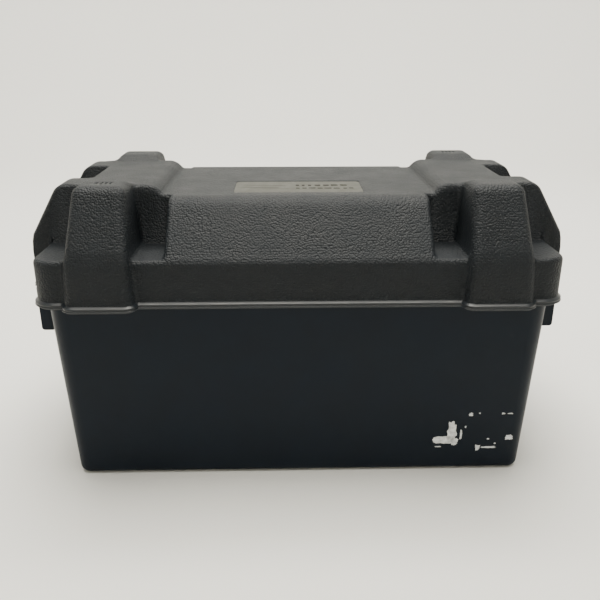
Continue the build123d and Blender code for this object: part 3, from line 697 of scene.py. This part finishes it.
class BATTERYBOX_OT_plates(bpy.types.Operator):
    """Finishes the plate groups, separators and cell links"""
    bl_idname = "battery_box.plates"
    bl_label = "Plates"

    def execute(self, context):
        props = context.scene.battery_box_battery
        # pasted plates: dry, crumbly surfaces with no gloss
        brown = surface_material("lead_dioxide_paste", tuple(props.positive_paste), 0.85, 1.5, mottle=0.25,
                                 mottle_mm=6.0, grain_mm=1.0, grain_depth=0.2, grain_strength=0.6)
        grey = surface_material("sponge_lead_paste", tuple(props.negative_paste), 0.7, 1.5, mottle=0.2,
                                mottle_mm=6.0, grain_mm=1.0, grain_depth=0.2, grain_strength=0.6)
        # ribbed microporous sheet, chalky white
        sheet = surface_material("separator_sheet", tuple(props.separator), 0.7, 1.5, mottle=0.05,
                                 mottle_mm=20.0, grain_mm=1.5, grain_depth=0.05, grain_strength=0.3)
        lead = cast_lead(props)
        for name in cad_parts:
            if name.startswith("positive_plates"):
                give(name, brown)
            if name.startswith("negative_plates"):
                give(name, grey)
            if name.startswith("separators"):
                give(name, sheet)
            if name.startswith("cell_link"):
                give(name, lead)
        return {"FINISHED"}


def cast_lead(props):
    """Cast lead alloy, dulled by a grey oxide skin: soft blotches over a dim metal."""
    return surface_material("lead_cast", tuple(props.lead), 0.5, metallic=0.85, mottle=0.25, mottle_mm=5.0,
                            rough_spread=0.15, grain_mm=1.4, grain_depth=0.15, grain_strength=0.4)


class BATTERYBOX_OT_terminals(bpy.types.Operator):
    """Finishes the terminals, studs, washers, wing nuts and rings"""
    bl_idname = "battery_box.terminals"
    bl_label = "Terminals"

    def execute(self, context):
        props = context.scene.battery_box_battery
        lead = cast_lead(props)
        # turned stainless steel: fine rings round the stud
        turned = surface_material("stainless_turned", tuple(props.steel), 0.25, metallic=1.0, mottle=0.05,
                                  mottle_mm=6.0, rough_spread=0.08, grain_mm=0.5, grain_depth=0.05,
                                  grain_strength=0.4, stretch=(0.15, 0.15, 1.6))
        # die-cast and tumbled: a slightly pitted, softer gloss
        tumbled = surface_material("stainless_tumbled", tuple(props.steel), 0.32, metallic=1.0, mottle=0.1,
                                   mottle_mm=4.0, rough_spread=0.1, grain_mm=0.7, grain_depth=0.06,
                                   grain_strength=0.4)
        rings = {"positive": surface_material("polypropylene_red", tuple(props.red), 0.35, 1.49,
                                              mottle=0.06, mottle_mm=8.0, grain_mm=0.8, grain_depth=0.03,
                                              grain_strength=0.2),
                 "negative": surface_material("polypropylene_black", tuple(props.black), 0.4, 1.49,
                                              mottle=0.08, mottle_mm=8.0, grain_mm=0.8, grain_depth=0.03,
                                              grain_strength=0.2)}
        for pole, ring in rings.items():
            give(pole + "_terminal", lead)
            give(pole + "_stud", turned)
            give(pole + "_washer", turned)
            give(pole + "_wing_nut", tumbled)
            give(pole + "_ring", ring)
        return {"FINISHED"}


# ---------------------------------------------------------------- stage
def sweep_surface():
    """Floor, quarter-round and wall as one profile carried round a circle: a level line, an arc and an
    upright, so that every side of the battery box has the same plain ground behind it."""
    radius, flat, tall = 900.0, 1500.0, 3400.0
    turn = np.linspace(0, math.pi / 2, 25)
    out = np.concatenate([[1.0, 0.5 * flat], flat + radius * np.sin(turn), [flat + radius]])
    up = np.concatenate([[0.0, 0.0], radius * (1 - np.cos(turn)), [tall]])
    round_angle = np.linspace(0, 2 * math.pi, 96, endpoint=False)
    points = np.stack(np.broadcast_arrays(out[:, None] * np.cos(round_angle), out[:, None]
                                          * np.sin(round_angle), up[:, None]), axis=-1).reshape(-1, 3)
    return points, strip_faces(len(out), len(round_angle), True)[:, ::-1]


WORLD_COLOUR, WORLD_STRENGTH = (0.6, 0.8, 1.0, 1.0), 0.2
# name, power's name, place, aim, size and colour of each lamp
LAMPS = (
    ("overhead", "lamp_power", (0.0, 0.15, 1.9), (0.0, 0.05, 0.0), 1.5, (1.0, 0.965, 0.87)),
    ("back_wall", "wall_power", (0.0, 1.2, 2.6), (0.0, 2.6, 0.9), 1.6, (1.0, 0.975, 0.92)),
)
CAMERA_PLACE = (-0.0111, -0.5881, 0.3394)
CAMERA_TURN = math.radians(-1.29)
SENSOR_WIDTH, CLIP_START = 36.0, 0.01


class BATTERYBOX_OT_stage(bpy.types.Operator):
    """Lays the pale sweep, hangs the lamps and sets the camera"""
    bl_idname = "battery_box.stage"
    bl_label = "Stage"

    def execute(self, context):
        props = context.scene.battery_box_stage
        scene = context.scene
        points, faces = sweep_surface()
        mesh = bpy.data.meshes.new("sweep")
        mesh.from_pydata(points * MM, [], faces.tolist())
        mesh.polygons.foreach_set("use_smooth", np.full(len(mesh.polygons), True))
        # matt paper, all but even
        mesh.materials.append(surface_material("paper_sweep", tuple(props.sweep), 0.9, 1.4, mottle=0.01,
                                               mottle_mm=400.0, rough_spread=0.03))
        sweep = bpy.data.objects.new("sweep", mesh)
        scene.collection.objects.link(sweep)

        world = bpy.data.worlds.new("studio")
        world.use_nodes = True
        background = world.node_tree.nodes["Background"]
        background.inputs["Color"].default_value = WORLD_COLOUR
        background.inputs["Strength"].default_value = WORLD_STRENGTH
        scene.world = world

        for name, power, spot, aim, size, colour in LAMPS:
            lamp = bpy.data.lights.new(name, "AREA")
            lamp.shape = "SQUARE"
            lamp.size = size
            lamp.energy = getattr(props, power)
            lamp.color = colour
            holder = bpy.data.objects.new(name, lamp)
            holder.location = spot
            direction = np.array(aim) - np.array(spot)
            level = math.hypot(direction[0], direction[1])
            holder.rotation_euler = (math.atan2(level, -direction[2]), 0.0,
                                     math.atan2(-direction[0], direction[1]) if level > 1e-6 else 0.0)
            scene.collection.objects.link(holder)

        camera_data = bpy.data.cameras.new("camera")
        camera_data.lens = props.lens
        camera_data.sensor_width = SENSOR_WIDTH
        camera_data.clip_start = CLIP_START
        camera = bpy.data.objects.new("camera", camera_data)
        camera.location = CAMERA_PLACE
        camera.rotation_euler = (math.pi / 2 - props.pitch, 0.0, CAMERA_TURN)
        scene.collection.objects.link(camera)
        scene.camera = camera
        return {"FINISHED"}


class BATTERYBOX_PT_panel(bpy.types.Panel):
    """Lists the battery box's pieces and their sizes"""
    bl_idname = "BATTERYBOX_PT_panel"
    bl_label = "Battery box"
    bl_space_type = "VIEW_3D"
    bl_region_type = "UI"
    bl_category = "Battery box"

    def draw(self, context):
        layout = self.layout
        for title, group, operators in PANEL_ROWS:
            box = layout.box()
            box.label(text=title)
            props = getattr(context.scene, group)
            for name in props.bl_rna.properties.keys():
                if name not in {"rna_type", "name"}:
                    box.prop(props, name)
            for operator in operators:
                box.operator(operator.bl_idname)


PANEL_ROWS = (
    ("Lid", "battery_box_lid", (BATTERYBOX_OT_lid, BATTERYBOX_OT_label)),
    ("Tub", "battery_box_tub", (BATTERYBOX_OT_tub, BATTERYBOX_OT_sticker_remains,
                                BATTERYBOX_OT_dividers)),
    ("Battery", "battery_box_battery", (BATTERYBOX_OT_battery_case, BATTERYBOX_OT_plates,
                                        BATTERYBOX_OT_terminals)),
    ("Stage", "battery_box_stage", (BATTERYBOX_OT_stage,)),
)
GROUPS = {"battery_box_lid": LidProps, "battery_box_tub": TubProps,
          "battery_box_battery": BatteryProps, "battery_box_stage": StageProps}


def register():
    for name, group in GROUPS.items():
        bpy.utils.register_class(group)
        setattr(bpy.types.Scene, name, PointerProperty(type=group))
    for _, _, operators in PANEL_ROWS:
        for operator in operators:
            bpy.utils.register_class(operator)
    bpy.utils.register_class(BATTERYBOX_PT_panel)


def unregister():
    bpy.utils.unregister_class(BATTERYBOX_PT_panel)
    for _, _, operators in reversed(PANEL_ROWS):
        for operator in reversed(operators):
            bpy.utils.unregister_class(operator)
    for name, group in reversed(GROUPS.items()):
        delattr(bpy.types.Scene, name)
        bpy.utils.unregister_class(group)


def main():
    register()
    bpy.ops.battery_box.lid()
    bpy.ops.battery_box.label()
    bpy.ops.battery_box.tub()
    bpy.ops.battery_box.sticker_remains()
    bpy.ops.battery_box.dividers()
    bpy.ops.battery_box.battery_case()
    bpy.ops.battery_box.plates()
    bpy.ops.battery_box.terminals()
    bpy.ops.battery_box.stage()


if __name__ == "__main__":
    main()
